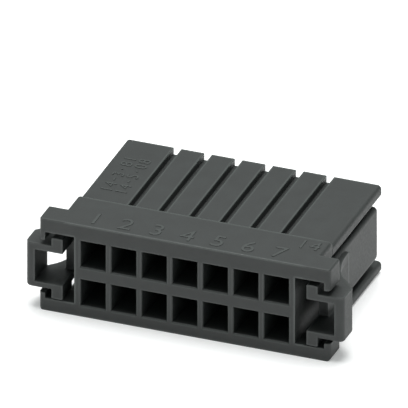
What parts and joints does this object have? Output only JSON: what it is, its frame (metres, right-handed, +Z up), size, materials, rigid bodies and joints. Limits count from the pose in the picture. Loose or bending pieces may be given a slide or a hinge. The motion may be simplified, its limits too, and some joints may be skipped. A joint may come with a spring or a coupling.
{
  "type": "pcb plug connector",
  "caption": "Black moulded plug housing with two rows of cavities for crimped wires, a ribbed rear body and a flexing latch with a push button at each end.",
  "frame": {"origin": "middle of the footprint, on the underside", "axes": "+X along the rows of cavities, +Y from the wire side towards the mating side, +Z up"},
  "size_m": [0.0396, 0.0226, 0.0121],
  "materials": {
    "housing_plastic": "moulded black glass-filled polyester, fine satin surface"
  },
  "bodies": {
    "root": {"housing": "housing_plastic"}
  },
  "joints": []
}
